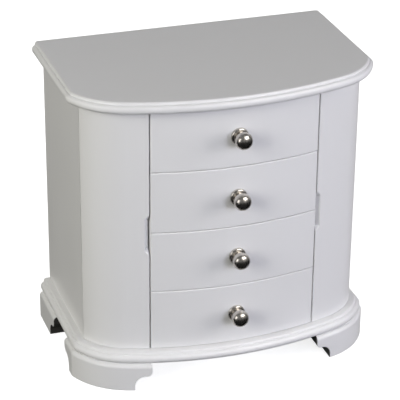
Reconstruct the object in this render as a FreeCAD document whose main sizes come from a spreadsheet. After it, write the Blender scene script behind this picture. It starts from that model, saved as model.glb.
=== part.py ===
"""Bow-front jewelry armoire: a parametric FreeCAD document, millimetres, +Z up.

The origin is under the centre of the armoire's bounding box, on the plane it stands on. +X is the
right-hand side seen from the front and the front faces -Y. Every piece is drawn with y = 0 on the
back of the case and is then carried forward to its place by back_y.
"""
import FreeCAD, Part
import math
import os
from types import SimpleNamespace

import Sketcher
from FreeCAD import Rotation, Vector

DRAWERS = (1, 2, 3, 4)
SIDES = (("left", -1), ("right", 1))

# Driving dimensions in millimetres, one spreadsheet cell each.
DIMENSIONS = {
    # the case in plan: flat sides, rounded shoulders and a shallow bow front
    "case_width": 311, "case_depth": 202.5, "bow_radius": 364,
    "shoulder_radius": 64, "arris_angle": 67.2,
    # heights from the floor up
    "foot_height": 31.2, "base_thickness": 12, "case_height": 279.5, "lid_thickness": 12,
    # base and lid mouldings, measured outward from the plan of the case
    "base_projection": 12.6, "base_bead_height": 9.2, "base_bead_round": 4.6,
    "base_under_round": 4.2, "base_step_projection": 8, "base_step_round": 2.5, "rear_round": 8,
    "lid_projection": 13.6, "lid_bead_height": 9.2, "lid_bead_round": 4.2,
    "lid_step_projection": 9.4, "lid_step_round": 2.4,
    "lid_board": 6.7, "lid_lip_gap": 0.9, "lid_rest_gap": 0.3,
    # feet with scroll-cut ends
    "foot_projection": 14.8, "foot_round": 4.5, "scroll_land": 8, "scroll_bulge": 6,
    "scroll_hollow": 12, "front_foot_inner": 95, "front_foot_back": 120, "foot_corner_cut": 27,
    "rear_foot_inner": 120, "rear_foot_front": 73.7, "rear_foot_back": 10,
    # boards of the case
    "side_thickness": 9, "back_thickness": 5, "partition_thickness": 8, "bay_width": 182,
    "shelf_thickness": 3, "shelf_rise": 1.25, "top_frame_inset": 0.4,
    "partition_gap": 0.5,
    # ring well under the lid
    "well_depth": 32.5, "well_floor_thickness": 3, "rail_thickness": 5, "well_margin": 9,
    "divider_thickness": 3, "divider_height": 20, "roll_radius": 11, "roll_length": 80,
    "roll_pitch": 22.6, "roll_count": 7, "soft_gap": 0.3,
    # drawer fronts and boxes
    "front_width": 184.2, "front_thickness": 9, "reveal": 0.5, "lid_reveal": 1.5,
    "edge_round": 0.8, "box_wall": 5, "box_bottom": 3, "box_top_gap": 11.2,
    "top_box_gap": 2.95, "running_gap": 0.5, "box_lift": 0.3, "box_back_gap": 4,
    # doors
    "door_thickness": 9, "door_gap": 1.3, "door_top_gap": 0.7, "pivot_setback": 5.1,
    "pivot_gap": 0.4, "pivot_pin_radius": 1.5, "pivot_pin_depth": 10, "bush_radius": 2.4,
    "bush_flange_radius": 3.4, "bush_flange": 0.4, "running_fit": 0.05,
    "notch_height": 49, "notch_depth": 6.9, "notch_slope": 5, "notch_rise": 137,
    "notch_bevel": 50,
    # catches and necklace hooks
    "magnet_width": 8, "magnet_depth": 12, "magnet_height": 14, "magnet_drop": 82,
    "strike_thickness": 1, "strike_gap": 0.4, "strike_margin": 1, "rail_depth": 7, "rail_height": 10,
    "rail_drop": 26, "rail_first_angle": 24, "rail_last_angle": 56, "hook_margin": 5,
    "hook_radius": 1, "hook_reach": 9, "hook_tilt": 20, "hook_seat": 0.4,
    "hook_ball_radius": 1.6, "glue_line": 0.15,
    # knobs and their screws
    "knob_radius": 9.5, "knob_crown": 8, "knob_projection": 21, "rose_radius": 9.6,
    "rose_thickness": 3.2, "rose_round": 2.4, "neck_radius": 6, "neck_cove": 6,
    "screw_radius": 1.95, "screw_gap": 0.1,
    "screw_grip": 7, "screw_head_radius": 3.8, "screw_head_height": 2,
    # lid hinges and mirror
    "hinge_spacing": 180, "hinge_length": 26, "leaf_depth": 12, "leaf_thickness": 0.9,
    "knuckle_radius": 2, "knuckle_gap": 0.2, "knuckle_end_gap": 0.15, "hinge_pin_radius": 0.8,
    "wood_screw_radius": 0.8, "wood_screw_head": 1.6, "wood_screw_length": 3.8,
    "wood_screw_pitch": 16, "mirror_thickness": 2, "mirror_margin": 5,
}


class Size:
    """A length that knows both its present value and the formula that gives it."""

    def __init__(self, value, formula=None):
        self.value = float(value)
        self.formula = formula or repr(float(value))

    @staticmethod
    def of(thing):
        return thing if isinstance(thing, Size) else Size(thing)

    def _join(self, other, sign, value):
        return Size(value, f"({self.formula} {sign} {other.formula})")

    def __add__(self, other):
        other = Size.of(other)
        return self._join(other, "+", self.value + other.value)

    def __sub__(self, other):
        other = Size.of(other)
        return self._join(other, "-", self.value - other.value)

    def __mul__(self, other):
        other = Size.of(other)
        return self._join(other, "*", self.value * other.value)

    def __truediv__(self, other):
        other = Size.of(other)
        return self._join(other, "/", self.value / other.value)

    def __radd__(self, other):
        return Size.of(other) + self

    def __rsub__(self, other):
        return Size.of(other) - self

    def __rmul__(self, other):
        return Size.of(other) * self

    def __neg__(self):
        return Size(-self.value, f"(-1 * {self.formula})")

    def root(self):
        return Size(math.sqrt(self.value), f"sqrt({self.formula})")


def leg(hypotenuse, other_leg):
    """The second short side of a right-angled triangle."""
    return (hypotenuse * hypotenuse - other_leg * other_leg).root()


def mean(first, second):
    return (first + second) / 2


def sine(angle):
    return Size(math.sin(math.radians(angle.value)), f"sin({angle.formula} * 1 deg)")


def cosine(angle):
    return Size(math.cos(math.radians(angle.value)), f"cos({angle.formula} * 1 deg)")


# ------------------------------------------------------------------ document and drawing helpers
doc = FreeCAD.newDocument("jewelry_armoire")
sheet = doc.addObject("Spreadsheet::Sheet", "sizes")
for row, (alias, number) in enumerate(DIMENSIONS.items(), start=1):
    sheet.set(f"A{row}", alias)
    sheet.set(f"B{row}", str(number))
    sheet.setAlias(f"B{row}", alias)
doc.recompute()
d = SimpleNamespace(**{name: Size(number, f"sizes.{name}") for name, number in DIMENSIONS.items()})

nodes = []


def bind(thing, **formulas):
    """Ties properties of an object to sizes; a double underscore stands for a dot."""
    for name, size in formulas.items():
        thing.setExpression(name.replace("__", "."), Size.of(size).formula)


def place(piece, x=0, y=0, z=0, spin=None):
    """Puts a piece in the case, with y counted from the back of the case."""
    if spin:
        piece.Placement = FreeCAD.Placement(Vector(), spin)
    bind(piece, Placement__Base__x=x, Placement__Base__y=y + back_y, Placement__Base__z=z)
    return piece


def node(piece, label):
    """Marks a piece as one that is handed over under this name."""
    piece.Label = label
    nodes.append(piece)
    return piece


def board(name, x, y, z):
    """A rectangular board given by its (low, high) extent along each axis."""
    piece = doc.addObject("Part::Box", name)
    bind(piece, Length=x[1] - x[0], Width=y[1] - y[0], Height=z[1] - z[0])
    return place(piece, x[0], y[0], z[0])


def rod(name, radius, length, x, y, z, spin=None):
    """A round bar that starts at x, y, z and runs up, or along the spun Z axis."""
    piece = doc.addObject("Part::Cylinder", name)
    bind(piece, Radius=radius, Height=length)
    return place(piece, x, y, z, spin)


def cone(name, low_radius, high_radius, length, x, y, z):
    piece = doc.addObject("Part::Cone", name)
    bind(piece, Radius1=low_radius, Radius2=high_radius, Height=length)
    return place(piece, x, y, z)


def joined(name, pieces):
    piece = doc.addObject("Part::MultiFuse", name)
    piece.Shapes = pieces
    return piece


def cut(name, base, tools):
    piece = doc.addObject("Part::Cut", name)
    piece.Base = base
    piece.Tool = tools[0] if len(tools) == 1 else joined(f"{name}_tools", tools)
    return piece


def group(name, pieces):
    piece = doc.addObject("Part::Compound", name)
    piece.Links = pieces
    return piece


class Outline:
    """A closed outline of straight lines and arcs; every arc turns less than half a circle."""

    def __init__(self, x, y):
        self.points = [(Size.of(x), Size.of(y))]
        self.edges = []

    def line(self, x, y):
        return self._add(x, y, None, True)

    def arc(self, x, y, radius, anticlockwise=True):
        return self._add(x, y, Size.of(radius), anticlockwise)

    def _add(self, x, y, radius, anticlockwise):
        self.points.append((Size.of(x), Size.of(y)))
        self.edges.append((radius, anticlockwise))
        return self

    def close(self):
        return self.line(*self.points[0])

    def mirrored(self, side):
        """The same outline for the right-hand side, or reflected in x for the left-hand side."""
        if side > 0:
            return self
        other = Outline(-self.points[0][0], self.points[0][1])
        for (x, y), (radius, anticlockwise) in zip(self.points[1:], self.edges):
            other._add(-x, y, radius, not anticlockwise)
        return other


def arc_curve(start, end, radius, anticlockwise):
    """The arc between two points, drawn anticlockwise as the sketcher wants it."""
    chord = end - start
    height = math.sqrt(radius ** 2 - chord.Length ** 2 / 4)
    normal = Vector(-chord.y, chord.x, 0).normalize() * (height if anticlockwise else -height)
    centre = (start + end) * 0.5 + normal
    first, last = (start, end) if anticlockwise else (end, start)
    angles = [math.atan2(p.y - centre.y, p.x - centre.x) for p in (first, last)]
    return Part.ArcOfCircle(Part.Circle(centre, Vector(0, 0, 1), radius), *angles)


def plane_sketch(body, name, plane, lift=None):
    sketch = body.newObject("Sketcher::SketchObject", name)
    origin_plane = next(f for f in body.Origin.OriginFeatures if f.Role == plane)
    sketch.AttachmentSupport = [(origin_plane, "")]
    sketch.MapMode = "FlatFace"
    if lift is not None:
        bind(sketch, AttachmentOffset__Base__z=lift)
    return sketch


def draw(body, name, outline, plane="XY_Plane", lift=None):
    """A fully constrained sketch of an outline: two coordinates a corner, a radius an arc."""
    sketch = plane_sketch(body, name, plane, lift)
    curves, ends = [], []
    spots = [Vector(x.value, y.value, 0) for x, y in outline.points]
    for start, end, (radius, anticlockwise) in zip(spots, spots[1:], outline.edges):
        if radius is None:
            curves.append(Part.LineSegment(start, end))
        else:
            curves.append(arc_curve(start, end, radius.value, anticlockwise))
        ends.append((1, 2) if anticlockwise or radius is None else (2, 1))
    sketch.addGeometry(curves)
    for index in range(len(curves)):
        after = (index + 1) % len(curves)
        sketch.addConstraint(
            Sketcher.Constraint("Coincident", index, ends[index][1], after, ends[after][0]))
    for index, ((x, y), (radius, _)) in enumerate(zip(outline.points, outline.edges)):
        rules = [("DistanceX", x, (ends[index][0], x.value)),
                 ("DistanceY", y, (ends[index][0], y.value))]
        if radius is not None:
            rules.append(("Radius", radius, (radius.value,)))
        for kind, size, numbers in rules:
            rule = sketch.addConstraint(Sketcher.Constraint(kind, index, *numbers))
            sketch.setExpression(f"Constraints[{rule}]", size.formula)
    return sketch


def draw_circle(body, name, x, y, radius, plane="XY_Plane", lift=None):
    sketch = plane_sketch(body, name, plane, lift)
    centre = Vector(x.value, y.value, 0)
    sketch.addGeometry(Part.Circle(centre, Vector(0, 0, 1), radius.value))
    rules = (("DistanceX", x, (3, x.value)), ("DistanceY", y, (3, y.value)),
             ("Radius", radius, (radius.value,)))
    for kind, size, numbers in rules:
        rule = sketch.addConstraint(Sketcher.Constraint(kind, 0, *numbers))
        sketch.setExpression(f"Constraints[{rule}]", size.formula)
    return sketch


def new_body(label):
    return node(doc.addObject("PartDesign::Body", label), label)


def pad(body, sketch, length):
    feature = body.newObject("PartDesign::Pad", f"{sketch.Name}_pad")
    feature.Profile = sketch
    bind(feature, Length=length)
    return feature


def pocket(body, sketch, length=None, upward=False, taper=None):
    """Cuts away a sketch: right through the body both ways, or to a depth from its plane."""
    doc.recompute()
    before = body.Shape.Volume
    feature = body.newObject("PartDesign::Pocket", f"{sketch.Name}_pocket")
    feature.Profile = sketch
    if length is None:
        feature.Type = "ThroughAll"
        feature.Midplane = True
    else:
        feature.Reversed = upward
        bind(feature, Length=length)
    if taper is not None:
        bind(feature, TaperAngle=taper)
    doc.recompute()
    if not body.Shape.Volume < before - 1e-6:
        raise RuntimeError(f"{feature.Name} cuts nothing")
    return feature


def fillet(body, feature, radius, chosen):
    """Rounds the edges of a feature whose midpoint and edge pass the test."""
    doc.recompute()
    names = []
    for number, edge in enumerate(feature.Shape.Edges, start=1):
        middle = edge.valueAt((edge.FirstParameter + edge.LastParameter) / 2)
        if chosen(middle, edge):
            names.append(f"Edge{number}")
    rounded = body.newObject("PartDesign::Fillet", f"{feature.Name}_round")
    rounded.Base = (feature, names)
    bind(rounded, Radius=radius)
    return rounded


def near(number, size):
    return abs(number - size.value) < 1e-3


# ------------------------------------------------------------------ plan and levels of the case
half_width = d.case_width / 2
rear_projection = d.knuckle_radius * 2 + d.knuckle_gap
back_y = (d.case_depth + d.knob_projection - rear_projection) / 2

bow_y = d.bow_radius - d.case_depth
arris_x = sine(d.arris_angle)
arris_dy = -cosine(d.arris_angle)
shoulder_x = half_width - d.shoulder_radius * arris_x
centre_distance = d.bow_radius - d.shoulder_radius
shoulder_y = bow_y - leg(centre_distance, shoulder_x)
junction_x = shoulder_x / centre_distance
junction_y = (shoulder_y - bow_y) / centre_distance
arris_y = shoulder_y + d.shoulder_radius * arris_dy

base_top = d.foot_height + d.base_thickness
case_top = base_top + d.case_height
top_frame_thickness = d.lid_thickness - d.lid_board - d.lid_rest_gap
frame_top = case_top + top_frame_thickness
lid_top = case_top + d.lid_thickness
front_height = (d.case_height - d.lid_reveal - d.reveal * 4) / 4

bay_half = d.bay_width / 2
partition_outer = bay_half + d.partition_thickness
side_inner = half_width - d.side_thickness
front_inner_radius = d.bow_radius - d.front_thickness
door_inner_radius = d.bow_radius - d.door_thickness
well_floor_top = case_top - d.well_depth


def drawer_bottom(number):
    """The underside of a drawer front; drawer 1 is the highest."""
    return base_top + d.reveal + (front_height + d.reveal) * (max(DRAWERS) - number)


def bow_at(x, radius):
    """The y of an arc concentric with the bow front at a distance x from the middle."""
    return bow_y - leg(radius, x)


def junction(offset):
    """Where bow and shoulder meet on the outline that lies outside the case by offset."""
    radius = d.bow_radius + offset
    return junction_x * radius, bow_y + junction_y * radius


def shoulder_at(x, offset):
    return shoulder_y - leg(d.shoulder_radius + offset, x - shoulder_x)


def case_outline(offset, back=0, rear_round=None):
    """The plan of the case grown outward by offset, with round corners at the two arrises."""
    edge = half_width + offset
    turn_x, turn_y = half_width + arris_x * offset, arris_y + arris_dy * offset
    join_x, join_y = junction(offset)
    if rear_round is None:
        outline = Outline(-edge, back)
    else:
        outline = Outline(rear_round - edge, back).arc(-edge, back - rear_round, rear_round)
    outline.line(-edge, arris_y)
    outline.arc(-turn_x, turn_y, offset).arc(-join_x, join_y, d.shoulder_radius + offset)
    outline.arc(join_x, join_y, d.bow_radius + offset)
    outline.arc(turn_x, turn_y, d.shoulder_radius + offset).arc(edge, arris_y, offset)
    if rear_round is None:
        outline.line(edge, back)
    else:
        outline.line(edge, back - rear_round).arc(edge - rear_round, back, rear_round)
    return outline.close()


def inset_outline(inset, back=0):
    """The plan of the case drawn inward by inset, where the arrises stay sharp."""
    edge = half_width - inset
    join_x, join_y = junction(-inset)
    corner_y = shoulder_at(edge, -inset)
    outline = Outline(-edge, back).line(-edge, corner_y)
    outline.arc(-join_x, join_y, d.shoulder_radius - inset)
    outline.arc(join_x, join_y, d.bow_radius - inset)
    outline.arc(edge, corner_y, d.shoulder_radius - inset)
    return outline.line(edge, back).close()


def rectangle(x, y):
    return Outline(x[0], y[0]).line(x[1], y[0]).line(x[1], y[1]).line(x[0], y[1]).close()


def on_front_outline(middle, edge):
    """True for edges that follow the moulded sides and front, not the flat back."""
    return abs(edge.Vertexes[0].Y) > 1e-3 or abs(edge.Vertexes[-1].Y) > 1e-3


# ------------------------------------------------------------------ door pivots
# Each door turns on pins in the middle of its thickness. Its hinge edge is a round nose about
# the pins, and the front edge of the side panel is hollowed about the same axis.
pivot_y = arris_y - d.pivot_setback
pivot_arm = d.shoulder_radius - d.door_thickness / 2
pivot_x = shoulder_x + leg(pivot_arm, pivot_y - shoulder_y)
nose_radius = ((half_width - pivot_x) * (half_width - pivot_x)
               + d.pivot_setback * d.pivot_setback).root()
cove_radius = nose_radius + d.pivot_gap
door_bottom = base_top + d.reveal
door_height = d.case_height - d.reveal - d.door_top_gap
bush_bore = d.pivot_pin_radius + d.running_fit
bush_hole = d.bush_radius + d.running_fit


# ------------------------------------------------------------------ base and feet
def moulded_board(body, label, projection, bead, bead_round, under_round, step, step_round,
                  thickness):
    """A board with a nosed bead round its edge and a smaller step above it."""
    bead_plan = case_outline(projection, rear_round=d.rear_round)
    step_plan = case_outline(step, rear_round=d.rear_round + step - projection)
    bead_pad = pad(body, draw(body, f"{label}_bead", bead_plan), bead)
    bead_top = fillet(body, bead_pad, bead_round,
                      lambda middle, edge: near(middle.z, bead)
                      and on_front_outline(middle, edge))
    fillet(body, bead_top, under_round,
           lambda middle, edge: near(middle.z, Size(0)) and on_front_outline(middle, edge))
    step_pad = pad(body, draw(body, f"{label}_step", step_plan, lift=bead / 2),
                   thickness - bead / 2)
    return fillet(body, step_pad, step_round,
                  lambda middle, edge: near(middle.z, thickness)
                  and on_front_outline(middle, edge))


def make_base_board():
    body = new_body("base_board")
    moulded_board(body, "base_board", d.base_projection, d.base_bead_height, d.base_bead_round,
                  d.base_under_round, d.base_step_projection, d.base_step_round,
                  d.base_thickness)
    for name, side in SIDES:
        bore = draw_circle(body, f"base_bore_{name}", pivot_x * side, pivot_y, bush_hole)
        pocket(body, bore)
    place(body, z=d.foot_height)


def scroll(start, direction):
    """What is sawn off a foot's end: a square land, a bulge and then a hollow to the floor."""
    def at(step):
        return start + step * direction
    low = d.foot_height - d.scroll_land
    bulge_z = low - d.scroll_bulge
    hollow_z = bulge_z - d.scroll_hollow
    reach = d.scroll_bulge + d.scroll_hollow
    onward = direction > 0
    outline = Outline(at(-1), -1).line(at(reach), -1).line(at(reach), hollow_z)
    outline.arc(at(d.scroll_bulge), bulge_z, d.scroll_hollow, onward)
    outline.arc(start, low, d.scroll_bulge, not onward)
    return outline.line(at(-1), low).close()


def make_front_foot(name, side):
    label = f"foot_front_{name}"
    body = new_body(label)
    outer = half_width + d.foot_projection
    inner = d.front_foot_inner
    back = -d.front_foot_back
    corner_y = shoulder_at(outer, d.foot_projection)
    join_x, join_y = junction(d.foot_projection)
    plan = Outline(inner, bow_at(inner, d.bow_radius + d.foot_projection))
    plan.arc(join_x, join_y, d.bow_radius + d.foot_projection)
    plan.arc(outer, corner_y, d.shoulder_radius + d.foot_projection).line(outer, back)
    plan.line(inner + d.foot_corner_cut, back).line(inner, back - d.foot_corner_cut).close()
    block = pad(body, draw(body, f"{label}_plan", plan.mirrored(side)), d.foot_height)
    fillet(body, block, d.foot_round,
           lambda middle, edge: near(middle.z, d.foot_height)
           and (edge.Curve.TypeId == "Part::GeomCircle" or near(abs(middle.x), outer)))
    pocket(body, draw(body, f"{label}_front_end", scroll(inner, 1).mirrored(side), "XZ_Plane"))
    pocket(body, draw(body, f"{label}_side_end", scroll(back, -1), "YZ_Plane"))
    place(body)


def make_rear_foot(name, side):
    label = f"foot_rear_{name}"
    body = new_body(label)
    outer = half_width + d.foot_projection
    front = -d.rear_foot_front
    plan = rectangle((d.rear_foot_inner, outer), (front, -d.rear_foot_back))
    block = pad(body, draw(body, f"{label}_plan", plan.mirrored(side)), d.foot_height)
    fillet(body, block, d.foot_round,
           lambda middle, edge: near(middle.z, d.foot_height) and near(abs(middle.x), outer))
    pocket(body, draw(body, f"{label}_front_end", scroll(front, 1), "YZ_Plane"))
    place(body)


# ------------------------------------------------------------------ walls and inner boards
def make_side_panel(name, side):
    label = f"side_panel_{name}"
    body = new_body(label)
    outer_y = pivot_y + leg(cove_radius, half_width - pivot_x)
    inner_y = pivot_y + leg(cove_radius, pivot_x - side_inner)
    plan = Outline(half_width, 0).line(side_inner, 0).line(side_inner, inner_y)
    plan.arc(half_width, outer_y, cove_radius, False).close()
    pad(body, draw(body, f"{label}_plan", plan.mirrored(side)), d.case_height)
    place(body, z=base_top)


def make_case_boards():
    full_height = (base_top, case_top)
    node(board("back_board", (-side_inner, side_inner), (-d.back_thickness, 0), full_height),
         "back_panel")
    partition_front = bow_at(partition_outer, door_inner_radius) + d.partition_gap
    inside = (partition_front, -d.back_thickness)
    node(board("partition_board_left", (-partition_outer, -bay_half), inside, full_height),
         "partition_left")
    node(board("partition_board_right", (bay_half, partition_outer), inside, full_height),
         "partition_right")
    bay = (-bay_half, bay_half)
    shelves = []
    for number in DRAWERS:
        top = drawer_bottom(number) + d.shelf_rise
        low = base_top if number == max(DRAWERS) else top - d.shelf_thickness
        shelves.append(board(f"shelf_{number}", bay, inside, (low, top)))
    node(group("shelves", shelves), "drawer_shelves")
    floor = (well_floor_top - d.well_floor_thickness, well_floor_top)
    node(board("well_floor_board", bay, inside, floor), "well_floor")
    well_back = partition_front + d.rail_thickness
    node(board("well_rail_board", bay, (partition_front, well_back), (well_floor_top, case_top)),
         "well_rail")
    half = d.divider_thickness / 2
    divider_top = well_floor_top + d.divider_height
    middle_y = mean(well_back, -d.back_thickness)
    long_divider = board("divider_long", (-half, half), (well_back, -d.back_thickness),
                         (well_floor_top, divider_top))
    cross_divider = board("divider_cross", (half, bay_half), (middle_y - half, middle_y + half),
                          (well_floor_top, divider_top))
    node(group("dividers", [long_divider, cross_divider]), "well_dividers")
    return well_back


def make_ring_rolls(well_back):
    """Padded rolls lying side by side in the left half of the ring well."""
    span = d.roll_pitch * (d.roll_count - 1)
    first_y = mean(well_back, -d.back_thickness) - span / 2
    middle_x = -mean(bay_half, d.divider_thickness / 2)
    rolls = []
    for index in range(DIMENSIONS["roll_count"]):
        rolls.append(rod(f"roll_{index}", d.roll_radius, d.roll_length,
                         middle_x - d.roll_length / 2, first_y + d.roll_pitch * index,
                         well_floor_top + d.soft_gap + d.roll_radius,
                         Rotation(Vector(0, 1, 0), 90)))
    node(group("rolls", rolls), "ring_rolls")


def make_top_frame(well_back):
    body = new_body("top_frame")
    pad(body, draw(body, "top_frame_plan", inset_outline(d.top_frame_inset)),
        top_frame_thickness)
    well = rectangle((-bay_half, bay_half), (well_back, -d.back_thickness - d.well_margin))
    pocket(body, draw(body, "top_frame_well", well))
    for name, side in SIDES:
        pocket(body, draw_circle(body, f"top_bore_{name}", pivot_x * side, pivot_y, bush_hole))
        leaf_x = (hinge_x(side) - d.hinge_length / 2, hinge_x(side) + d.hinge_length / 2)
        mortise = draw(body, f"top_mortise_{name}", rectangle(leaf_x, (-d.leaf_depth, 1)),
                       lift=top_frame_thickness)
        pocket(body, mortise, d.leaf_thickness)
        for end in (-1, 1):
            hole = draw_circle(body, f"top_pilot_{name}_{end + 1}", screw_x(side, end), screw_y,
                               d.wood_screw_radius + d.running_fit, lift=top_frame_thickness)
            pocket(body, hole, d.leaf_thickness + d.wood_screw_length)
    place(body, z=case_top)


def make_pivot_bushes():
    """Flanged brass bushes, two in the base board and two in the top frame."""
    bushes = []
    for name, side in SIDES:
        levels = (("low", base_top - d.pivot_pin_depth, base_top, d.pivot_pin_depth),
                  ("high", case_top, case_top - d.bush_flange, top_frame_thickness))
        for level, sleeve_z, flange_z, length in levels:
            tag = f"bush_{level}_{name}"
            x = pivot_x * side
            sleeve = rod(f"{tag}_sleeve", d.bush_radius, length, x, pivot_y, sleeve_z)
            flange = rod(f"{tag}_flange", d.bush_flange_radius, d.bush_flange, x, pivot_y,
                         flange_z)
            bore = rod(f"{tag}_bore", bush_bore, length + d.bush_flange * 2, x, pivot_y,
                       (sleeve_z if level == "low" else flange_z) - d.bush_flange / 2)
            bushes.append(cut(tag, joined(f"{tag}_blank", [sleeve, flange]), [bore]))
    node(group("bushes", bushes), "door_pivot_bushes")


# ------------------------------------------------------------------ lid with hinges and mirror
screw_y = -d.leaf_depth / 2
knuckle_y = d.knuckle_radius + d.knuckle_gap
knuckle_z = frame_top + d.lid_rest_gap / 2


def hinge_x(side):
    return d.hinge_spacing / 2 * side


def screw_x(side, end):
    return hinge_x(side) + d.wood_screw_pitch / 2 * end


def make_lid():
    body = new_body("lid_panel")
    moulded_board(body, "lid", d.lid_projection, d.lid_bead_height, d.lid_bead_round,
                  d.lid_bead_round, d.lid_step_projection, d.lid_step_round, d.lid_thickness)
    recess_depth = top_frame_thickness + d.lid_rest_gap
    recess = draw(body, "lid_recess", case_outline(d.lid_lip_gap, back=Size(1)))
    pocket(body, recess, recess_depth, upward=True)
    for name, side in SIDES:
        leaf_x = (hinge_x(side) - d.hinge_length / 2, hinge_x(side) + d.hinge_length / 2)
        mortise = draw(body, f"lid_mortise_{name}", rectangle(leaf_x, (-d.leaf_depth, 1)),
                       lift=recess_depth)
        pocket(body, mortise, d.leaf_thickness, upward=True)
        for end in (-1, 1):
            hole = draw_circle(body, f"lid_pilot_{name}_{end + 1}", screw_x(side, end), screw_y,
                               d.wood_screw_radius + d.running_fit, lift=recess_depth)
            pocket(body, hole, d.leaf_thickness + d.wood_screw_length, upward=True)
    place(body, z=case_top)


def make_mirror(well_back):
    half = bay_half - d.mirror_margin
    top = frame_top + d.lid_rest_gap
    node(board("mirror_glass", (-half, half),
               (well_back + d.mirror_margin, -d.back_thickness - d.well_margin - d.mirror_margin),
               (top - d.mirror_thickness, top)), "lid_mirror")


def hinge_leaf(name, side, plate_z, knuckles, head_z, taper):
    """One leaf: a plate with its knuckles rolled round the pin and two countersunk holes."""
    start = hinge_x(side) - d.hinge_length / 2
    along_x = Rotation(Vector(0, 1, 0), 90)
    pieces = [board(f"{name}_plate", (start, start + d.hinge_length), (-d.leaf_depth, 0),
                    plate_z)]
    third = d.hinge_length / 3
    for index in knuckles:
        low = start + third * index + d.knuckle_end_gap
        high = start + third * (index + 1) - d.knuckle_end_gap
        pieces.append(rod(f"{name}_knuckle_{index}", d.knuckle_radius, high - low, low,
                          knuckle_y, knuckle_z, along_x))
        pieces.append(board(f"{name}_neck_{index}", (low, high), (-d.knuckle_gap, knuckle_y),
                            plate_z))
    bore = rod(f"{name}_bore", d.hinge_pin_radius + d.running_fit, d.hinge_length + 2, start - 1,
               knuckle_y, knuckle_z, along_x)
    sinks = [cone(f"{name}_sink_{end + 1}", *[r + d.running_fit for r in taper],
                  d.leaf_thickness, screw_x(side, end), screw_y, head_z) for end in (-1, 1)]
    return cut(name, joined(f"{name}_blank", pieces), [bore] + sinks)


def countersunk_screw(name, side, end, head_z, taper, shank_z):
    head = cone(f"{name}_head", *taper, d.leaf_thickness, screw_x(side, end), screw_y, head_z)
    shank = rod(f"{name}_shank", d.wood_screw_radius, d.wood_screw_length, screw_x(side, end),
                screw_y, shank_z)
    return joined(name, [head, shank])


def make_lid_hinges():
    """Two small butt hinges let in between the top frame and the lid, knuckles outside."""
    down = (d.wood_screw_radius, d.wood_screw_head)
    up = (d.wood_screw_head, d.wood_screw_radius)
    case_z = (frame_top - d.leaf_thickness, frame_top)
    ceiling = frame_top + d.lid_rest_gap
    lid_z = (ceiling, ceiling + d.leaf_thickness)
    leaves = {"case": [], "lid": []}
    screws = {"case": [], "lid": []}
    pins = []
    for name, side in SIDES:
        leaves["case"].append(hinge_leaf(f"case_leaf_{name}", side, case_z, (0, 2), case_z[0],
                                         down))
        leaves["lid"].append(hinge_leaf(f"lid_leaf_{name}", side, lid_z, (1,), lid_z[0], up))
        for end in (-1, 1):
            tag = f"{name}_{end + 1}"
            screws["case"].append(countersunk_screw(f"case_screw_{tag}", side, end, case_z[0],
                                                    down, case_z[0] - d.wood_screw_length))
            screws["lid"].append(countersunk_screw(f"lid_screw_{tag}", side, end, lid_z[0], up,
                                                   lid_z[1]))
        pins.append(rod(f"lid_pin_{name}", d.hinge_pin_radius, d.hinge_length,
                        hinge_x(side) - d.hinge_length / 2, knuckle_y, knuckle_z,
                        Rotation(Vector(0, 1, 0), 90)))
    for owner in ("case", "lid"):
        node(group(f"{owner}_leaves", leaves[owner]), f"lid_hinge_leaves_{owner}")
        node(group(f"{owner}_screws", screws[owner]), f"lid_hinge_screws_{owner}")
    node(group("hinge_pins", pins), "lid_hinge_pins")


# ------------------------------------------------------------------ doors
def make_door_panel(name, side):
    """A curved board that follows bow and shoulder, with a finger scoop in its free edge."""
    label = f"door_panel_{name}"
    body = new_body(label)
    free_x = d.front_width / 2 + d.door_gap
    outer_join, inner_join = junction(Size(0)), junction(-d.door_thickness)
    inner_shoulder = d.shoulder_radius - d.door_thickness
    along = (inner_shoulder * inner_shoulder - nose_radius * nose_radius
             + pivot_arm * pivot_arm) / (pivot_arm * 2)
    across = leg(inner_shoulder, along)
    unit_x = (pivot_x - shoulder_x) / pivot_arm
    unit_y = (pivot_y - shoulder_y) / pivot_arm
    heel_x = shoulder_x + along * unit_x - across * unit_y
    heel_y = shoulder_y + along * unit_y + across * unit_x
    plan = Outline(free_x, bow_at(free_x, d.bow_radius))
    plan.arc(*outer_join, d.bow_radius).arc(half_width, arris_y, d.shoulder_radius)
    plan.arc(heel_x, heel_y, nose_radius).arc(*inner_join, inner_shoulder, False)
    plan.arc(free_x, bow_at(free_x, door_inner_radius), door_inner_radius, False).close()
    panel = pad(body, draw(body, f"{label}_plan", plan.mirrored(side)), door_height)
    outer_y = bow_at(free_x, d.bow_radius)
    fillet(body, panel, d.edge_round,
           lambda middle, edge: near(abs(middle.x), free_x) and near(middle.y, outer_y))
    low = base_top + d.notch_rise - door_bottom - d.notch_height / 2
    high = low + d.notch_height
    beyond = free_x - d.notch_depth * 2
    notch = Outline(beyond, low).line(free_x, low)
    notch.line(free_x + d.notch_depth, low + d.notch_slope)
    notch.line(free_x + d.notch_depth, high - d.notch_slope)
    notch.line(free_x, high).line(beyond, high).close()
    pocket(body, draw(body, f"{label}_notch", notch.mirrored(side), "XZ_Plane", lift=-outer_y),
           d.notch_depth, taper=-d.notch_bevel)
    pin_hole = d.pivot_pin_radius + d.running_fit
    low_bore = draw_circle(body, f"{label}_low_bore", pivot_x * side, pivot_y, pin_hole)
    pocket(body, low_bore, d.pivot_pin_depth, upward=True)
    high_bore = draw_circle(body, f"{label}_high_bore", pivot_x * side, pivot_y, pin_hole,
                            lift=door_height)
    pocket(body, high_bore, d.pivot_pin_depth)
    place(body, z=door_bottom)


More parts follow.
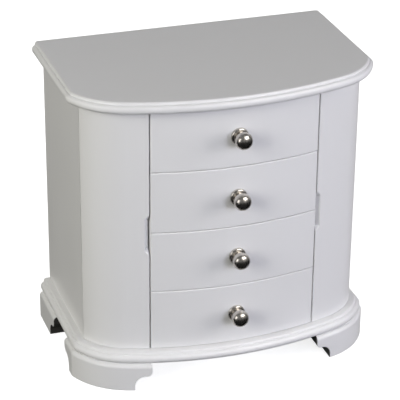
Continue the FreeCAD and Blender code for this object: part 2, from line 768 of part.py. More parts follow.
def make_door_pins(name, side):
    """Steel pins half in the door and half in the bushes above and below it."""
    low = base_top - d.pivot_pin_depth + d.bush_flange
    high = door_bottom + door_height - d.pivot_pin_depth + d.bush_flange
    pins = [rod(f"pin_low_{name}", d.pivot_pin_radius, d.pivot_pin_depth * 2 - d.bush_flange,
                pivot_x * side, pivot_y, low),
            rod(f"pin_high_{name}", d.pivot_pin_radius, frame_top - d.bush_flange - high,
                pivot_x * side, pivot_y, high)]
    node(group(f"pins_{name}", pins), f"door_pivot_pins_{name}")


def curved_block(label, x, radii, height, side, z):
    """A block between two arcs concentric with the bow front."""
    body = doc.addObject("PartDesign::Body", label)
    outer, inner = radii
    plan = Outline(x[0], bow_at(x[0], outer)).arc(x[1], bow_at(x[1], outer), outer)
    plan.line(x[1], bow_at(x[1], inner))
    plan.arc(x[0], bow_at(x[0], inner), inner, False).close()
    pad(body, draw(body, f"{label}_plan", plan.mirrored(side)), height)
    return place(body, z=z)


def make_catches():
    """Magnetic catches on the partitions and the steel strikes that meet them on the doors."""
    low = case_top - d.magnet_drop - d.magnet_height / 2
    strike_radius = door_inner_radius - d.strike_thickness
    face_radius = strike_radius - d.strike_gap
    strike_x = (partition_outer + d.strike_margin, partition_outer + d.magnet_width)
    magnet_x = (partition_outer, partition_outer + d.magnet_width)
    magnets = []
    for name, side in SIDES:
        node(curved_block(f"strike_{name}", strike_x,
                          (door_inner_radius - d.glue_line, strike_radius),
                          d.magnet_height, side, low), f"door_strike_{name}")
        magnets.append(curved_block(f"magnet_{name}", magnet_x,
                                    (face_radius, face_radius - d.magnet_depth),
                                    d.magnet_height, side, low))
    node(group("magnets", magnets), "catch_magnets")


def on_shoulder(angle, radius):
    """A point at an angle round the shoulder's centre, counted from straight ahead."""
    return (shoulder_x + radius * sine(angle), shoulder_y - radius * cosine(angle))


def make_hook_rail(name, side):
    """A curved wooden rail inside the shoulder of the door, with three brass hooks on it."""
    label = f"hook_rail_{name}"
    body = new_body(label)
    outer = d.shoulder_radius - d.door_thickness - d.glue_line
    inner = outer - d.rail_depth
    first, last = d.rail_first_angle, d.rail_last_angle
    plan = Outline(*on_shoulder(first, outer)).arc(*on_shoulder(last, outer), outer)
    plan.line(*on_shoulder(last, inner)).arc(*on_shoulder(first, inner), inner, False).close()
    pad(body, draw(body, f"{label}_plan", plan.mirrored(side)), d.rail_height)
    rail_z = case_top - d.rail_drop
    place(body, z=rail_z)
    hooks = []
    middle_z = rail_z + d.rail_height / 2
    ball_z = middle_z + d.hook_reach * sine(d.hook_tilt)
    ball_radius = inner - d.hook_seat - d.hook_reach * cosine(d.hook_tilt)
    for index, angle in enumerate((first + d.hook_margin, mean(first, last),
                                   last - d.hook_margin)):
        root_x, root_y = on_shoulder(angle, inner - d.hook_seat)
        ball_x, ball_y = on_shoulder(angle, ball_radius)
        inward = Vector(ball_x.value * side - root_x.value * side,
                        ball_y.value - root_y.value, ball_z.value - middle_z.value)
        tag = f"hook_{name}_{index}"
        peg = rod(f"{tag}_peg", d.hook_radius, d.hook_reach, root_x * side, root_y, middle_z,
                  Rotation(Vector(0, 0, 1), inward))
        ball = doc.addObject("Part::Sphere", f"{tag}_ball")
        bind(ball, Radius=d.hook_ball_radius)
        place(ball, ball_x * side, ball_y, ball_z, Rotation(Vector(0, 0, 1), inward))
        hooks.append(joined(tag, [peg, ball]))
    node(group(f"hooks_{name}", hooks), f"necklace_hooks_{name}")


# ------------------------------------------------------------------ drawers
def make_drawer_front(number):
    """A bowed board with eased outer edges and a hole for the knob's screw."""
    label = f"drawer_front_{number}"
    body = new_body(label)
    half = d.front_width / 2
    outer_y, inner_y = bow_at(half, d.bow_radius), bow_at(half, front_inner_radius)
    plan = Outline(-half, outer_y).arc(half, outer_y, d.bow_radius).line(half, inner_y)
    plan.arc(-half, inner_y, front_inner_radius, False).close()
    panel = pad(body, draw(body, f"{label}_plan", plan), front_height)
    fillet(body, panel, d.edge_round,
           lambda middle, edge: near(middle.y, -d.case_depth) or near(middle.y, outer_y))
    pocket(body, draw_circle(body, f"{label}_hole", Size(0), front_height / 2,
                             d.screw_radius + d.screw_gap, "XZ_Plane"))
    place(body, z=drawer_bottom(number))


def make_drawer_box(number):
    """Two sides, a back and a bottom that all run forward to the curved inside of the front."""
    low = drawer_bottom(number) + d.shelf_rise + d.box_lift
    if number == min(DRAWERS):
        height = well_floor_top - d.well_floor_thickness - d.top_box_gap - low
    else:
        next_shelf = drawer_bottom(number - 1) + d.shelf_rise - d.shelf_thickness
        height = next_shelf - d.box_top_gap - low
    outer = bay_half - d.running_gap
    inner = outer - d.box_wall
    back_outer = -d.back_thickness - d.box_back_gap
    back_inner = back_outer - d.box_wall
    radius = front_inner_radius - d.glue_line
    walls = []
    for name, side in SIDES:
        body = doc.addObject("PartDesign::Body", f"drawer_{number}_side_{name}")
        plan = Outline(inner, bow_at(inner, radius)).arc(outer, bow_at(outer, radius), radius)
        plan.line(outer, back_outer).line(inner, back_outer).close()
        pad(body, draw(body, f"{body.Name}_plan", plan.mirrored(side)), height)
        walls.append(place(body, z=low))
    node(group(f"drawer_{number}_walls", walls), f"drawer_sides_{number}")
    node(board(f"drawer_{number}_back", (-inner, inner), (back_inner, back_outer),
               (low, low + height)), f"drawer_back_{number}")
    label = f"drawer_bottom_{number}"
    body = new_body(label)
    plan = Outline(-inner, bow_at(inner, radius)).arc(inner, bow_at(inner, radius), radius)
    plan.line(inner, back_inner).line(-inner, back_inner).close()
    pad(body, draw(body, f"{label}_plan", plan), d.box_bottom)
    place(body, z=low)


def make_knob(number):
    """A flattened ball turned in one piece with its coved neck and rose, and its screw."""
    label = f"drawer_knob_{number}"
    body = new_body(label)
    crown_radius = d.knob_radius * d.knob_radius / d.knob_crown
    edge_radius = d.knob_crown * (d.knob_radius + d.knob_crown) / (d.knob_radius * 2)
    reach = crown_radius / (crown_radius - edge_radius)
    join_x = reach * (d.knob_radius - edge_radius)
    join_y = crown_radius - d.knob_projection - reach * (crown_radius - d.knob_crown)
    ball_y = d.knob_crown - d.knob_projection
    neck_y = ball_y + leg(edge_radius, d.neck_radius - d.knob_radius + edge_radius)
    bore = d.screw_radius + d.running_fit
    bore_end = -d.screw_grip - 1
    shoulder = d.rose_radius - d.rose_round
    profile = Outline(bore, 0).line(bore, bore_end).line(0, bore_end)
    profile.line(0, -d.knob_projection).arc(join_x, join_y, crown_radius)
    profile.arc(d.neck_radius, neck_y, edge_radius)
    profile.arc(d.neck_radius, -d.rose_thickness, d.neck_cove, False)
    profile.line(shoulder, -d.rose_thickness)
    profile.arc(d.rose_radius, d.rose_round - d.rose_thickness, d.rose_round)
    profile.line(d.rose_radius, 0).close()
    sketch = draw(body, f"{label}_profile", profile)
    turned = body.newObject("PartDesign::Revolution", f"{label}_turning")
    turned.Profile = sketch
    turned.ReferenceAxis = (sketch, ["V_Axis"])
    turned.Angle = 360
    middle_z = drawer_bottom(number) + front_height / 2
    place(body, 0, -d.case_depth, middle_z)
    forward = Rotation(Vector(1, 0, 0), 90)
    head_y = d.front_thickness - d.case_depth + d.running_fit + d.screw_head_height
    head = rod(f"knob_screw_{number}_head", d.screw_head_radius, d.screw_head_height, 0, head_y,
               middle_z, forward)
    shank_length = d.screw_head_height + d.running_fit + d.front_thickness + d.screw_grip
    shank = rod(f"knob_screw_{number}_shank", d.screw_radius, shank_length, 0, head_y, middle_z,
                forward)
    node(joined(f"knob_screw_{number}_whole", [head, shank]), f"knob_screw_{number}")


def build():
    make_base_board()
    for name, side in SIDES:
        make_front_foot(name, side)
        make_rear_foot(name, side)
        make_side_panel(name, side)
    well_back = make_case_boards()
    make_ring_rolls(well_back)
    make_top_frame(well_back)
    make_pivot_bushes()
    make_lid()
    make_mirror(well_back)
    make_lid_hinges()
    for name, side in SIDES:
        make_door_panel(name, side)
        make_door_pins(name, side)
        make_hook_rail(name, side)
    make_catches()
    for number in DRAWERS:
        make_drawer_front(number)
        make_drawer_box(number)
        make_knob(number)


def hand_over():
    """Checks every object of the document, then writes one STEP file for each node."""
    doc.recompute()
    failed = [thing.Name for thing in doc.Objects
              if "Invalid" in thing.State or "Error" in thing.State]
    if failed:
        raise RuntimeError(f"failed objects: {failed}")
    for piece in nodes:
        if piece.Shape.isNull() or not piece.Shape.isValid():
            raise RuntimeError(f"bad shape: {piece.Label}")
    os.makedirs("parts", exist_ok=True)
    for piece in nodes:
        piece.Shape.exportStep(f"parts/{piece.Label}.step")


build()
hand_over()
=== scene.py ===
"""Bow-front jewelry armoire in satin white paint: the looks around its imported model."""
import math
import random

import bmesh
import bpy
from mathutils import Matrix, Vector, noise


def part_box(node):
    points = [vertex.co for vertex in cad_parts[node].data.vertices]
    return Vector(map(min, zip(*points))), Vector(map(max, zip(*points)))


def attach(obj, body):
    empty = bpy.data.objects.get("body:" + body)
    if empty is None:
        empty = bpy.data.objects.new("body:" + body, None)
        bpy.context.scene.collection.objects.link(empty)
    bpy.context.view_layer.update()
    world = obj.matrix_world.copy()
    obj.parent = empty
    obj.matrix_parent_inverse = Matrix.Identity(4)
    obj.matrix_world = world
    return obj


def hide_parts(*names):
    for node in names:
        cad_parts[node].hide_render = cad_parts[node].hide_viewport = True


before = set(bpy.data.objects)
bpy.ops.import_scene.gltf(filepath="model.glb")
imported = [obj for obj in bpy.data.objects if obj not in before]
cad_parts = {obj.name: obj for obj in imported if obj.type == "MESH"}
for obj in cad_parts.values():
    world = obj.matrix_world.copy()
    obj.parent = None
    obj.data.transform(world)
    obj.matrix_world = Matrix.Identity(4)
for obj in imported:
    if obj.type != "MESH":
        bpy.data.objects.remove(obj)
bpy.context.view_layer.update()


# ---------------------------------------------------------------- the studio
# Four soft boxes round a pale table, with the key light in front and a little to the right,
# low enough that the fronts are brighter than the lid. Mirrored surfaces see two glowing cards
# in place of the lamps, and next to no light comes from below.
class Shade:
    """One value of a material. Arithmetic on it adds Math nodes; node() adds any other node."""

    def __init__(self, tree, socket=None):
        self.tree = tree
        self.socket = socket

    def node(self, kind, settings=None, sockets=None, output=0):
        made = self.tree.nodes.new(kind)
        for name, setting in (settings or {}).items():
            setattr(made, name, setting)
        for name, value in (sockets or {}).items():
            if isinstance(value, Shade):
                self.tree.links.new(value.socket, made.inputs[name])
            else:
                made.inputs[name].default_value = value
        return Shade(self.tree, made.outputs[output])

    def math(self, operation, *values):
        return self.node("ShaderNodeMath", {"operation": operation}, dict(enumerate(values)))

    def __add__(self, other):
        return self.math("ADD", self, other)

    def __sub__(self, other):
        return self.math("SUBTRACT", self, other)

    def __rsub__(self, other):
        return self.math("SUBTRACT", other, self)

    def __mul__(self, other):
        return self.math("MULTIPLY", self, other)

    __radd__ = __add__
    __rmul__ = __mul__

    def clamped(self):
        return self.node("ShaderNodeClamp", None, {"Value": self})

    def between(self, low, high):
        """How far this value has come from low to high, from 0 to 1."""
        return self.node("ShaderNodeMapRange", None,
                         {"Value": self, "From Min": low, "From Max": high})

    def tint(self, colour_a, colour_b):
        """A colour that goes from a to b as this value goes from 0 to 1."""
        return self.node("ShaderNodeMix", {"data_type": "RGBA"},
                         {"Factor": self, "A": colour_a, "B": colour_b}, "Result")


AZIMUTH, ELEVATION = math.radians(-19.06), math.radians(26.75)
ROLL = 0.0125
STAND_OFF = 2.0577
AIM = Vector((0.0, -0.0006, 0.150))

view_back = Vector((math.sin(AZIMUTH) * math.cos(ELEVATION),
                    -math.cos(AZIMUTH) * math.cos(ELEVATION), math.sin(ELEVATION)))
view_right = Vector((math.cos(AZIMUTH), math.sin(AZIMUTH), 0.0))
view_up = view_back.cross(view_right)
rolled_right = view_right * math.cos(ROLL) + view_up * math.sin(ROLL)
rolled_up = view_up * math.cos(ROLL) - view_right * math.sin(ROLL)

camera_data = bpy.data.cameras.new("studio_camera")
camera_data.lens = 168.2
camera_data.sensor_width = 36.0
camera_data.shift_x = -0.0234
camera_data.shift_y = 0.0411
camera_data.clip_start = 0.05
camera = bpy.data.objects.new("studio_camera", camera_data)
bpy.context.scene.collection.objects.link(camera)
turn = Matrix((rolled_right, rolled_up, view_back)).transposed().to_4x4()
camera.matrix_world = Matrix.Translation(AIM + view_back * STAND_OFF) @ turn
bpy.context.scene.camera = camera


def soft_box(name, place, size, watts, colour=(1.0, 1.0, 1.0)):
    """A rectangular lamp at a place, turned towards the object."""
    light = bpy.data.lights.new(name, "AREA")
    light.shape = "RECTANGLE"
    light.size, light.size_y = size
    light.energy = watts
    light.color = colour
    lamp = bpy.data.objects.new(name, light)
    bpy.context.scene.collection.objects.link(lamp)
    lamp.location = place
    lamp.rotation_euler = (AIM - Vector(place)).to_track_quat("-Z", "Y").to_euler()
    return lamp


for lamp in (soft_box("key_light", (0.75, -2.3, 0.95), (1.1, 0.9), 22.4, (0.81, 0.83, 1.0)),
             soft_box("left_light", (-1.9, -1.0, 1.1), (1.0, 1.2), 30.5, (1.0, 0.985, 0.915)),
             soft_box("right_light", (1.9, -1.0, 0.7), (1.0, 1.2), 23.5, (1.0, 0.97, 0.965)),
             soft_box("back_light", (0.5, 2.5, 0.55), (1.4, 1.0), 20.0)):
    lamp.visible_glossy = False
for card in (soft_box("right_card", (1.1, -1.5, 1.8), (1.7, 1.3), 34.0, (1.0, 0.98, 0.95)),
             soft_box("left_card", (-1.9, -1.0, 0.9), (1.0, 1.2), 8.0, (1.0, 0.98, 0.95))):
    card.visible_diffuse = False

SKY = (0.175, 0.175, 0.175, 1.0)
GROUND = (0.01, 0.01, 0.01, 1.0)
HORIZON_BLUR = 0.12
world = bpy.data.worlds.new("studio_air")
bpy.context.scene.world = world
world.use_nodes = True
air = Shade(world.node_tree)
direction = air.node("ShaderNodeTexCoord", output="Generated")
height = air.node("ShaderNodeSeparateXYZ", None, {"Vector": direction}, "Z")
horizon = height.between(-HORIZON_BLUR, HORIZON_BLUR).tint(GROUND, SKY)
world.node_tree.links.new(horizon.socket, world.node_tree.nodes["Background"].inputs["Color"])
bpy.context.scene.view_settings.view_transform = "Standard"


# ---------------------------------------------------------------- floor
# A matt white acrylic sheet lit from beneath, wide enough to reach the horizon in a low view.
# Neither its glow nor its reflection reaches the armoire, as if black card lay round the feet.
def new_finish(name):
    """A new material and the first Shade of its node tree."""
    material = bpy.data.materials.new(name)
    material.use_nodes = True
    return material, Shade(material.node_tree)


def finish_with(material, sockets):
    """Sets or links the sockets of a material's own surface shader."""
    tree = material.node_tree
    shader = tree.nodes["Principled BSDF"]
    for name, value in sockets.items():
        if isinstance(value, Shade):
            tree.links.new(value.socket, shader.inputs[name])
        else:
            shader.inputs[name].default_value = value
    return material


def grey(level, warmth=0.0):
    return (level * (1 + warmth), level, level * (1 - warmth), 1.0)


def object_place(shade):
    return shade.node("ShaderNodeTexCoord", output="Object")


def noise_at(shade, place, scale, detail=2.0):
    return shade.node("ShaderNodeTexNoise", None,
                      {"Vector": place, "Scale": scale, "Detail": detail})


floor_finish, shade = new_finish("lit_acrylic")
grain = noise_at(shade, object_place(shade), 40.0)
finish_with(floor_finish, {"Base Color": grain.tint(grey(0.90), grey(0.92)), "Roughness": 0.6,
                           "Emission Color": (1.0, 1.0, 1.0, 1.0), "Emission Strength": 0.8})
FLOOR_HALF, FLOOR_DROP = 60.0, 0.0005
floor_mesh = bpy.data.meshes.new("floor")
floor_mesh.from_pydata([(x * FLOOR_HALF, y * FLOOR_HALF, 0)
                        for x, y in ((-1, -1), (1, -1), (1, 1), (-1, 1))], [], [(0, 1, 2, 3)])
floor_mesh.materials.append(floor_finish)
floor = bpy.data.objects.new("floor", floor_mesh)
floor.location.z = -FLOOR_DROP
floor.visible_diffuse = False
floor.visible_glossy = False
bpy.context.scene.collection.objects.link(floor)


# ---------------------------------------------------------------- painted boards
# The base board, feet, sides, partitions and top frame are fibreboard sprayed with satin white
# lacquer: a faint orange peel, and glossier edges painted lighter as a painted highlight. The
# doors, drawer fronts and lid below wear the same paint. The feet's scroll-cut inner ends are
# painted near
# black: painted shade standing in for the deep shade under the base.
def bump(shade, height, distance, strength, normal):
    return shade.node("ShaderNodeBump", None, {"Strength": strength, "Distance": distance,
                                               "Height": height, "Normal": normal})


def edge_mask(shade, radius, gain):
    """1 along sharp edges and 0 on flat faces, and the normal that rounds those edges."""
    rounded = shade.node("ShaderNodeBevel", {"samples": 6}, {"Radius": radius})
    facing = shade.node("ShaderNodeVectorMath", {"operation": "DOT_PRODUCT"},
                        {0: rounded, 1: shade.node("ShaderNodeNewGeometry", output="Normal")},
                        "Value")
    return ((1.0 - facing) * gain).clamped(), rounded


def dress(node_name, material):
    """Gives a node of the frame its finish."""
    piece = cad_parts[node_name]
    piece.data.materials.clear()
    piece.data.materials.append(material)


def painted_shade_mask(shade, side, end):
    """1 on the faces of a foot that are turned in towards the middle of the base, where painted
    shade goes.
    """
    normal = shade.node("ShaderNodeNewGeometry", output="Normal")
    inward = [shade.node("ShaderNodeVectorMath", {"operation": "DOT_PRODUCT"},
                         {0: normal, 1: way}, "Value") for way in ((-side, 0, 0), (0, -end, 0))]
    return shade.math("MAXIMUM", *inward).between(0.3, 0.5)


def satin_white(name, level, foot=None):
    """Sprayed lacquer; level is its mean reflectance, foot the corner that a foot stands at,
    whose inward ends then get near-black painted shade.
    """
    material, shade = new_finish(name)
    place = object_place(shade)
    cloud = noise_at(shade, place, 14.0, 3.0)
    peel = noise_at(shade, place, 420.0)
    mist = noise_at(shade, place, 1800.0, 1.0)
    edge, rounded = edge_mask(shade, 0.0009, 3.0)
    batch = cloud.tint(grey(level * 0.985, 0.003), grey(level, -0.001))
    # Painted highlight: edges are coloured 2% lighter than the coat; they are also glossier
    # below.
    coat = edge.tint(batch, grey(level * 1.02))
    if foot:
        # Painted shade: the inward ends of the feet are coloured near black for the shade under
        # the base.
        coat = painted_shade_mask(shade, *foot).tint(coat, PAINTED_SHADE_END)
    return finish_with(material, {
        "Base Color": coat,
        "Roughness": 0.42 - edge * 0.06 + (cloud - 0.5) * 0.10 + (mist - 0.5) * 0.04,
        "Normal": bump(shade, peel + mist * 0.35, 0.00006, 0.35, rounded),
        "Coat Weight": 0.12, "Coat Roughness": 0.3})


LACQUER_TONE = 0.84
# Near-black painted shade for the inward ends of the feet.
PAINTED_SHADE_END = grey(0.06, 0.02)
lacquer = satin_white("satin_white_lacquer", LACQUER_TONE)
for name in ("base_board", "side_panel_left", "side_panel_right", "partition_left",
             "partition_right", "top_frame"):
    dress(name, lacquer)
# Each foot gets its own copy of the lacquer, with painted shade on its inward ends.
for name, side, end in (("front_left", -1, -1), ("front_right", 1, -1),
                        ("rear_left", -1, 1), ("rear_right", 1, 1)):
    dress(f"foot_{name}", satin_white(f"{name}_foot_lacquer_painted_shade", LACQUER_TONE, (side, end)))


# ---------------------------------------------------------------- inner boards
# Shelves, well boards and drawer boxes are thin fibreboard rolled with one coat of matt white;
# the back is hardboard, whose pressed web shows through its paint.
def rolled_white(name, level, web):
    """Paint put on with a roller; web is how much of the board's own texture stays visible."""
    material, shade = new_finish(name)
    place = object_place(shade)
    cloud = noise_at(shade, place, 22.0, 4.0)
    stipple = noise_at(shade, place, 900.0, 3.0)
    cells = shade.node("ShaderNodeTexVoronoi", None, {"Vector": place, "Scale": 700.0})
    edge, rounded = edge_mask(shade, 0.0006, 3.0)
    coat = cloud.tint(grey(level * 0.95, 0.012), grey(level, 0.006))
    return finish_with(material, {
        # Painted highlight: edges are coloured 4% lighter than the coat.
        "Base Color": edge.tint(coat, grey(level * 1.04, 0.004)),
        "Roughness": 0.62 + (stipple - 0.5) * 0.12,
        "Normal": bump(shade, stipple + cells * web, 0.00012, 0.4, rounded)})


board_white = rolled_white("board_white", 0.79, 0.0)
for name in ("drawer_shelves", "well_floor", "well_rail", "well_dividers"):
    dress(name, board_white)
dress("back_panel", rolled_white("hardboard_white", 0.76, 1.0))


# ---------------------------------------------------------------- felt in the well
# The two trays beside the ring rolls are lined with ivory felt, cut to size and glued down.
# Its short fibres lie in every direction and catch the light at a low angle.
def ivory_felt(name, light, dark):
    """A short matted pile; light and dark are the tones of its fibres."""
    material, shade = new_finish(name)
    place = object_place(shade)
    patches = noise_at(shade, place, 45.0, 4.0)
    fibres = noise_at(shade, place, 2600.0, 4.0)
    lint = noise_at(shade, place, 700.0, 3.0)
    tone = patches * 0.45 + fibres * 0.4 + lint * 0.15
    pile = shade.node("ShaderNodeBump", None, {"Strength": 0.7, "Distance": 0.00025,
                                               "Height": fibres + lint * 0.6})
    return finish_with(material, {
        "Base Color": tone.between(0.3, 0.7).tint(dark, light),
        "Roughness": 0.93 + (lint - 0.5) * 0.08, "Normal": pile,
        "Sheen Weight": 0.35, "Sheen Roughness": 0.45,
        "Sheen Tint": (1.0, 0.97, 0.92, 1.0), "Specular IOR Level": 0.2})


def new_piece(name, mesh, material):
    mesh.materials.clear()
    mesh.materials.append(material)
    piece = bpy.data.objects.new(name, mesh)
    bpy.context.scene.collection.objects.link(piece)
    return piece


def baked(piece):
    """Applies the modifiers of a piece to its mesh."""
    graph = bpy.context.evaluated_depsgraph_get()
    mesh = bpy.data.meshes.new_from_object(piece.evaluated_get(graph))
    piece.modifiers.clear()
    piece.data = mesh
    return piece


def felt_from_rows(name, rows):
    """A felt through rows of points. Its underside is the grid; it thickens along the normals."""
    shell = bmesh.new()
    verts = [[shell.verts.new(point) for point in row] for row in rows]
    for row, after in zip(verts, verts[1:]):
        for (a, b), (c, d) in zip(zip(row, row[1:]), zip(after, after[1:])):
            shell.faces.new((a, b, d, c)).smooth = True
    mesh = bpy.data.meshes.new(name)
    shell.to_mesh(mesh)
    shell.free()
    piece = new_piece(name, mesh, felt)
    wall = piece.modifiers.new("thickness", "SOLIDIFY")
    wall.thickness = FELT
    wall.offset = 1.0
    return baked(piece)


def laid_felt(name, x_range, back_y, front_at, z):
    """A floor lining; front_at gives the y of its front edge at an x."""
    rows = []
    for i in range(FELT_STEPS + 1):
        x = x_range[1] + (x_range[0] - x_range[1]) * i / FELT_STEPS
        front = front_at(x)
        row = []
        for j in range(FELT_STEPS + 1):
            y = front + (back_y - front) * j / FELT_STEPS
            lift = noise.noise(Vector((x, y, z)) * 60) * FELT_WAVE
            row.append((x, y, z + GLUE + lift))
        rows.append(row)
    return felt_from_rows(name, rows)


FELT, GLUE, FELT_GAP, FELT_WAVE, FELT_STEPS = 0.0007, 0.00015, 0.0004, 0.0001, 24
DIVIDER = 0.003
felt = ivory_felt("ivory_felt", (0.80, 0.765, 0.70, 1.0), (0.68, 0.645, 0.58, 1.0))
tray_low, tray_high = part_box("well_dividers")
tray_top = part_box("well_floor")[1]
tray_x = (tray_low.x + DIVIDER + FELT_GAP, tray_high.x - FELT_GAP)
cross_y = (tray_low.y + tray_high.y) / 2
for name, front_y, back_y in (
        ("felt_tray_front", tray_low.y + FELT_GAP, cross_y - DIVIDER / 2 - FELT_GAP),
        ("felt_tray_rear", cross_y + DIVIDER / 2 + FELT_GAP, tray_high.y - FELT_GAP)):
    piece = laid_felt(name, tray_x, back_y, lambda x, edge=front_y: edge, tray_top.z)
    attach(piece, "case")


# ---------------------------------------------------------------- ring rolls
# Seven foam rolls covered in ivory plush lie side by side, and rings are pressed in between
# them. Each cover is a tube closed by two round ends, sewn in over a piping cord.
ROLL_COUNT, ROLL_VOXEL = 7, 0.0016
SWELL_PRESSURE, SWELL_FRAMES, SWELL_LIMIT = 4.0, 20, 0.0011
COVER_GAP, END_ROOM, END_ROUND = 0.0005, 0.001, 0.0022
rolls_low, rolls_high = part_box("ring_rolls")
roll_radius = (rolls_high.z - rolls_low.z) / 2
roll_half = (rolls_high.x - rolls_low.x) / 2
start_radius = roll_radius - COVER_GAP


def roll_blank():
    """The cut foam: a cylinder with softened ends, a little shorter than the finished roll."""
    shell = bmesh.new()
    bmesh.ops.create_cone(shell, cap_ends=True, segments=40, radius1=start_radius,
                          radius2=start_radius, depth=(roll_half - END_ROOM) * 2,
                          matrix=Matrix.Rotation(math.pi / 2, 4, "Y"))
    rims = [edge for edge in shell.edges
            if abs(edge.verts[0].co.x - edge.verts[1].co.x) < 1e-6]
    bmesh.ops.bevel(shell, geom=rims, offset=END_ROUND, segments=3, affect="EDGES")
    mesh = bpy.data.meshes.new("roll_blank")
    shell.to_mesh(mesh)
    shell.free()
    return mesh


def swollen_roll():
    """The blank blown up as cloth, which crowns its ends; its sides keep their radius."""
    blank = bpy.data.objects.new("roll_blank", roll_blank())
    bpy.context.scene.collection.objects.link(blank)
    voxels = blank.modifiers.new("voxels", "REMESH")
    voxels.mode = "VOXEL"
    voxels.voxel_size = ROLL_VOXEL
    baked(blank)
    flat = [vert.co.copy() for vert in blank.data.vertices]
    cloth = blank.modifiers.new("cloth", "CLOTH")
    cloth.settings.use_pressure = True
    cloth.settings.uniform_pressure_force = SWELL_PRESSURE
    cloth.settings.effector_weights.gravity = 0.0
    cloth.point_cache.frame_start, cloth.point_cache.frame_end = 1, SWELL_FRAMES
    for step in range(1, SWELL_FRAMES + 1):
        bpy.context.scene.frame_set(step)
    baked(blank)
    bpy.context.scene.frame_set(1)
    for vert, start in zip(blank.data.vertices, flat):
        move = vert.co - start
        if move.length > SWELL_LIMIT:
            vert.co = start + move.normalized() * SWELL_LIMIT
    mesh = blank.data
    bpy.data.objects.remove(blank)
    return mesh


PIPING_INSET, SEAM_DEPTH, SEAM_REACH = 0.0026, 0.0007, 0.0018
DENT_DEPTH, FLOOR_GAP = 0.00035, 0.0002
plush = ivory_felt("ivory_plush", (0.83, 0.795, 0.73, 1.0), (0.70, 0.665, 0.60, 1.0))
roll_form = swollen_roll()
roll_x, roll_z = (rolls_low.x + rolls_high.x) / 2, (rolls_low.z + rolls_high.z) / 2
roll_pitch = (rolls_high.y - rolls_low.y - roll_radius * 2) / (ROLL_COUNT - 1)
random.seed(7)
for number in range(1, ROLL_COUNT + 1):
    mesh = roll_form.copy()
    twist = Matrix.Rotation(random.uniform(0, math.tau), 3, "X")
    centre = Vector((roll_x, rolls_low.y + roll_radius + roll_pitch * (number - 1), roll_z))
    for vert in mesh.vertices:
        point = twist @ vert.co
        outward = Vector((0.0, point.y, point.z))
        from_seam = abs(abs(point.x) - (roll_half - PIPING_INSET))
        seam = SEAM_DEPTH * max(0.0, 1 - from_seam / SEAM_REACH) ** 2
        dent = noise.noise((point + centre) * 55) * DENT_DEPTH
        point += outward * ((dent - seam) / max(outward.length, start_radius / 2))
        point.z = max(point.z, FLOOR_GAP - roll_radius)
        vert.co = point + centre
    mesh.polygons.foreach_set("use_smooth", [True] * len(mesh.polygons))
    piece = new_piece(f"ring_roll_{number}", mesh, plush)
    smooth = piece.modifiers.new("smooth", "SUBSURF")
    smooth.levels = smooth.render_levels = 1
    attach(piece, "case")
    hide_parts("ring_rolls")


# ---------------------------------------------------------------- piping and stitches
# A cord in the same cloth closes each end of a roll, held by a ring of small stitches. One
# tree makes an end's cord and stitches and sets them at all fourteen ends.
class Tree:
    """A Geometry Nodes tree; its modifier inputs are set by their sockets' identifiers."""

    def __init__(self, name):
        self.tree = bpy.data.node_groups.new(name, "GeometryNodeTree")
        for in_out in ("OUTPUT", "INPUT"):
            self.tree.interface.new_socket("Geometry", in_out=in_out,
                                           socket_type="NodeSocketGeometry")
        self.sizes = {}
        self.inputs = self.tree.nodes.new("NodeGroupInput").outputs

    def size(self, name, value):
        """A named input of the tree and the value its modifier gets."""
        kind = "NodeSocketInt" if isinstance(value, int) else "NodeSocketFloat"
        socket = self.tree.interface.new_socket(name, in_out="INPUT", socket_type=kind)
        self.sizes[socket.identifier] = value
        return self.inputs[name]

    def node(self, kind, settings=None, **sockets):
        made = self.tree.nodes.new(kind)
        for name, setting in (settings or {}).items():
            setattr(made, name, setting)
        for name, value in sockets.items():
            socket = made.inputs[name.replace("_", " ")]
            for one in value if isinstance(value, list) else [value]:
                if isinstance(one, bpy.types.NodeSocket):
                    self.tree.links.new(one, socket)
                else:
                    socket.default_value = one
        return made.outputs[0]

    def piece_on(self, name, spots, geometry, material):
        """Runs the tree on a cloud of spots and returns the plain piece it makes."""
        real = self.node("GeometryNodeRealizeInstances", Geometry=geometry)
        done = self.node("GeometryNodeSetMaterial", Geometry=real, Material=material)
        self.tree.links.new(done, self.tree.nodes.new("NodeGroupOutput").inputs[0])
        cloud = bpy.data.meshes.new(name)
        cloud.from_pydata(spots, [], [])
        piece = new_piece(name, cloud, material)
        maker = piece.modifiers.new("maker", "NODES")
        maker.node_group = self.tree
        for identifier, value in self.sizes.items():
            maker[identifier] = value
        return baked(piece)


ends = Tree("roll_end_piping")
ring = ends.node("GeometryNodeCurvePrimitiveCircle", Resolution=40,
                 Radius=ends.size("Ring Radius", start_radius - 0.0002))
section = ends.node("GeometryNodeCurvePrimitiveCircle", Resolution=6,
                    Radius=ends.size("Cord Radius", 0.00055))
tube = ends.node("GeometryNodeCurveToMesh", Curve=ring, Profile_Curve=section)
stitch_ring = ends.node("GeometryNodeMeshCircle",
                        Vertices=ends.size("Stitch Count", 30),
                        Radius=ends.size("Stitch Ring Radius", start_radius + 0.0002))
thread = ends.node("GeometryNodeMeshUVSphere", Segments=6, Rings=4,
                   Radius=ends.size("Thread Radius", 0.00028))
stitch = ends.node("GeometryNodeTransform", Geometry=thread, Scale=(1.0, 1.0, 2.8))
stitches = ends.node("GeometryNodeInstanceOnPoints", Points=stitch_ring, Instance=stitch)
end = ends.node("GeometryNodeTransform", Rotation=(0.0, math.pi / 2, 0.0),
                Geometry=ends.node("GeometryNodeJoinGeometry", Geometry=[tube, stitches]))
spots = [(roll_x + side * (roll_half - PIPING_INSET),
          rolls_low.y + roll_radius + roll_pitch * index, roll_z)
         for index in range(ROLL_COUNT) for side in (-1, 1)]
piping = ends.piece_on("roll_piping", spots, ends.node(
    "GeometryNodeInstanceOnPoints", Points=ends.inputs["Geometry"], Instance=end), plush)
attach(piping, "case")


